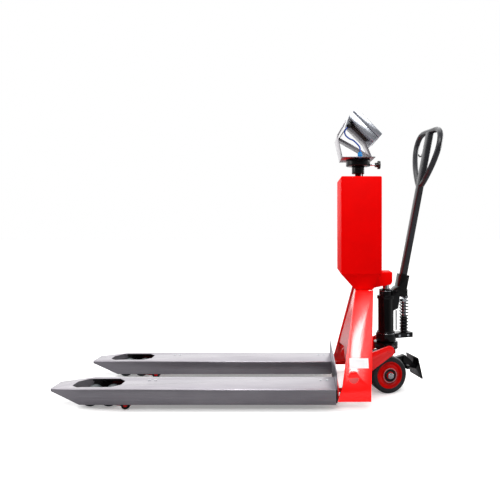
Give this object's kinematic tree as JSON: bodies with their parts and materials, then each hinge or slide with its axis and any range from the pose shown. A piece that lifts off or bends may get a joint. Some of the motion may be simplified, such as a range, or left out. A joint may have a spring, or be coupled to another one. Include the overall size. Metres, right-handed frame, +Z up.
{
  "type": "pallet jack",
  "caption": "Hand pallet truck with brushed steel forks, load rollers, a hydraulic pump and tiller, and a weighing indicator on a red box column.",
  "frame": {"origin": "on the floor under the middle of the lowered truck's bounding box", "axes": "+X from the fork tips towards the tiller, +Y to the far fork as seen with the tiller on the right, +Z up"},
  "size_m": [1.6404, 0.568, 1.2371],
  "materials": {
    "cover_steel": "brushed stainless sheet",
    "red_paint": "glossy red enamel",
    "black_paint": "glossy black enamel",
    "grey_paint": "dark grey metallic enamel",
    "plated_steel": "zinc and chrome plated steel",
    "cell_alloy": "milled",
    "tread_rubber": "black rubber",
    "roller_tread": "dark polyurethane",
    "black_plastic": "black moulded plastic",
    "battery_case": "black moulded plastic",
    "grey_plastic": "grey moulded keys",
    "pad_rubber": "dark rubber",
    "cable_jacket": "blue cable jacket",
    "gland_nylon": "blue nylon"
  },
  "bodies": {
    "thrust": {"thrust_plate": "black_paint"},
    "frame": {"back_plate": "cover_steel", "battery_pack": "battery_case", "column_box": "red_paint", "column_funnel": "red_paint", "crossbeam": "red_paint", "fork_beam_far": "red_paint", "fork_beam_near": "red_paint", "fork_cover_far": "cover_steel", "fork_cover_near": "cover_steel", "frame_front": "red_paint", "frame_side_far": "red_paint", "frame_side_near": "red_paint", "lift_ram": "plated_steel", "load_cell_far_front": "cell_alloy", "load_cell_far_rear": "cell_alloy", "load_cell_near_front": "cell_alloy", "load_cell_near_rear": "cell_alloy", "mast_stub": "black_paint"},
    "steer": {"pump_base": "black_paint", "pump_cylinder": "black_paint", "tiller_fork": "black_paint", "pump_spring": "plated_steel", "wheel_axle": "plated_steel"},
    "tiller": {"tiller_socket": "black_paint", "tiller_handle": "grey_paint", "cam_roller": "plated_steel"},
    "lever": {"finger_lever": "black_plastic"},
    "valve_rod": {"release_rod": "plated_steel"},
    "plunger": {"pump_plunger": "plated_steel"},
    "pedal": {"brake_pedal": "black_paint"},
    "rocker": {"rocker": "red_paint"},
    "swivel": {"swivel_foot": "black_paint", "bracket_foot": "cover_steel", "indicator_cradle": "cover_steel", "mounting_pad": "pad_rubber", "indicator_body": "cover_steel", "indicator_bezel": "cover_steel", "cable_gland_foot": "gland_nylon", "cable_gland_rear": "black_plastic", "indicator_cable": "cable_jacket"},
    "knob": {"clamp_knob": "black_plastic"},
    "key_1": {"key_1": "grey_plastic"},
    "key_2": {"key_2": "grey_plastic"},
    "key_3": {"key_3": "grey_plastic"},
    "key_4": {"key_4": "grey_plastic"},
    "wheel_near": {"tyre_near": "tread_rubber", "wheel_rim_near": "red_paint"},
    "link_near": {"roller_link_near": "red_paint"},
    "rod_near": {"push_rod_near": "red_paint"},
    "bogie_near": {"bogie_near": "red_paint"},
    "roller_near_front": {"roller_near_front": "roller_tread"},
    "roller_near_rear": {"roller_near_rear": "roller_tread"},
    "wheel_far": {"tyre_far": "tread_rubber", "wheel_rim_far": "red_paint"},
    "link_far": {"roller_link_far": "red_paint"},
    "rod_far": {"push_rod_far": "red_paint"},
    "bogie_far": {"bogie_far": "red_paint"},
    "roller_far_front": {"roller_far_front": "roller_tread"},
    "roller_far_rear": {"roller_far_rear": "roller_tread"}
  },
  "joints": [
    {"name": "lift", "type": "slide", "parent": "thrust", "child": "frame", "axis": [0, 0, 1], "range_m": [0, 0.115]},
    {"name": "steer", "type": "hinge", "parent": "thrust", "child": "steer", "pos_m": [0.57048, 0, 0.1], "axis": [0, 0, 1], "range_deg": [-101, 69]},
    {"name": "tiller_tilt", "type": "hinge", "parent": "steer", "child": "tiller", "pos_m": [0.60797, 0.01075, 0.431], "axis": [-0.2756, 0.9613, 0], "range_deg": [0, 60], "stiffness_Nm_per_rad": 12, "springref_deg": -28.65},
    {"name": "finger_lever_pull", "type": "hinge", "parent": "tiller", "child": "lever", "pos_m": [0.75844, 0.07626, 1.06309], "axis": [0.9409, 0.2698, -0.2045], "range_deg": [0, 18], "stiffness_Nm_per_rad": 0.4, "springref_deg": -20.05},
    {"name": "release_rod_slide", "type": "slide", "parent": "steer", "child": "valve_rod", "axis": [0, 0, 1], "range_m": [0, 0.0042]},
    {"name": "plunger_slide", "type": "slide", "parent": "steer", "child": "plunger", "axis": [0, 0, -1], "range_m": [0, 0.0515], "deforming": ["pump_spring"]},
    {"name": "brake_pedal_press", "type": "hinge", "parent": "steer", "child": "pedal", "pos_m": [0.65507, 0.02426, 0.135], "axis": [-0.2756, 0.9613, 0], "range_deg": [0, 13], "stiffness_Nm_per_rad": 3, "springref_deg": -28.65},
    {"name": "wheel_near_spin", "type": "hinge", "parent": "steer", "child": "wheel_near", "pos_m": [0.56957, -0.05488, 0.0806], "axis": [-0.2756, 0.9613, 0], "continuous": true},
    {"name": "wheel_far_spin", "type": "hinge", "parent": "steer", "child": "wheel_far", "pos_m": [0.54063, 0.04606, 0.0806], "axis": [-0.2756, 0.9613, 0], "continuous": true},
    {"name": "rocker_turn", "type": "hinge", "parent": "frame", "child": "rocker", "pos_m": [0.40048, 0, 0.13], "axis": [0, 1, 0], "range_deg": [0, 37.56]},
    {"name": "indicator_swivel", "type": "hinge", "parent": "frame", "child": "swivel", "pos_m": [0.44498, 0, 1.0005], "axis": [0, 0, 1], "range_deg": [-90, 90]},
    {"name": "clamp_knob_turn", "type": "hinge", "parent": "swivel", "child": "knob", "pos_m": [0.49998, 0, 1.007], "axis": [1, 0, 0], "range_deg": [0, 180]},
    {"name": "key_1_press", "type": "slide", "parent": "swivel", "child": "key_1", "axis": [-0.7071, 0, -0.7071], "range_m": [0, 0.0012], "stiffness_N_per_m": 300, "springref_m": -0.0012},
    {"name": "key_2_press", "type": "slide", "parent": "swivel", "child": "key_2", "axis": [-0.7071, 0, -0.7071], "range_m": [0, 0.0012], "stiffness_N_per_m": 300, "springref_m": -0.0012},
    {"name": "key_3_press", "type": "slide", "parent": "swivel", "child": "key_3", "axis": [-0.7071, 0, -0.7071], "range_m": [0, 0.0012], "stiffness_N_per_m": 300, "springref_m": -0.0012},
    {"name": "key_4_press", "type": "slide", "parent": "swivel", "child": "key_4", "axis": [-0.7071, 0, -0.7071], "range_m": [0, 0.0012], "stiffness_N_per_m": 300, "springref_m": -0.0012},
    {"name": "link_near_turn", "type": "hinge", "parent": "frame", "child": "link_near", "pos_m": [-0.50652, -0.2015, 0.024], "axis": [0, -1, 0], "range_deg": [0, 62.35]},
    {"name": "bogie_near_turn", "type": "hinge", "parent": "link_near", "child": "bogie_near", "pos_m": [-0.62852, -0.2015, 0.037], "axis": [0, 1, 0], "range_deg": [0, 62.35]},
    {"name": "rod_near_turn", "type": "hinge", "parent": "link_near", "child": "rod_near", "pos_m": [-0.48583, -0.2015, 0.05823], "axis": [0, 1, 0], "range_deg": [0, 62.35]},
    {"name": "roller_near_front_spin", "type": "hinge", "parent": "bogie_near", "child": "roller_near_front", "pos_m": [-0.66652, -0.2015, 0.037], "axis": [0, 1, 0], "continuous": true},
    {"name": "roller_near_rear_spin", "type": "hinge", "parent": "bogie_near", "child": "roller_near_rear", "pos_m": [-0.59052, -0.2015, 0.037], "axis": [0, 1, 0], "continuous": true},
    {"name": "link_far_turn", "type": "hinge", "parent": "frame", "child": "link_far", "pos_m": [-0.50652, 0.2015, 0.024], "axis": [0, -1, 0], "range_deg": [0, 62.35]},
    {"name": "bogie_far_turn", "type": "hinge", "parent": "link_far", "child": "bogie_far", "pos_m": [-0.62852, 0.2015, 0.037], "axis": [0, 1, 0], "range_deg": [0, 62.35]},
    {"name": "rod_far_turn", "type": "hinge", "parent": "link_far", "child": "rod_far", "pos_m": [-0.48583, 0.2015, 0.05823], "axis": [0, 1, 0], "range_deg": [0, 62.35]},
    {"name": "roller_far_front_spin", "type": "hinge", "parent": "bogie_far", "child": "roller_far_front", "pos_m": [-0.66652, 0.2015, 0.037], "axis": [0, 1, 0], "continuous": true},
    {"name": "roller_far_rear_spin", "type": "hinge", "parent": "bogie_far", "child": "roller_far_rear", "pos_m": [-0.59052, 0.2015, 0.037], "axis": [0, 1, 0], "continuous": true}
  ],
  "couplings": [
    {"joint": "rocker_turn", "follows": "lift", "rad_per_m": 5.693},
    {"joint": "link_near_turn", "follows": "lift", "rad_per_m": 9.4551},
    {"joint": "bogie_near_turn", "follows": "lift", "rad_per_m": 9.4551},
    {"joint": "rod_near_turn", "follows": "lift", "rad_per_m": 9.4551},
    {"joint": "link_far_turn", "follows": "lift", "rad_per_m": 9.4551},
    {"joint": "bogie_far_turn", "follows": "lift", "rad_per_m": 9.4551},
    {"joint": "rod_far_turn", "follows": "lift", "rad_per_m": 9.4551},
    {"joint": "plunger_slide", "follows": "tiller_tilt", "m_per_rad": 0.0487},
    {"joint": "release_rod_slide", "follows": "finger_lever_pull", "m_per_rad": 0.0127}
  ]
}
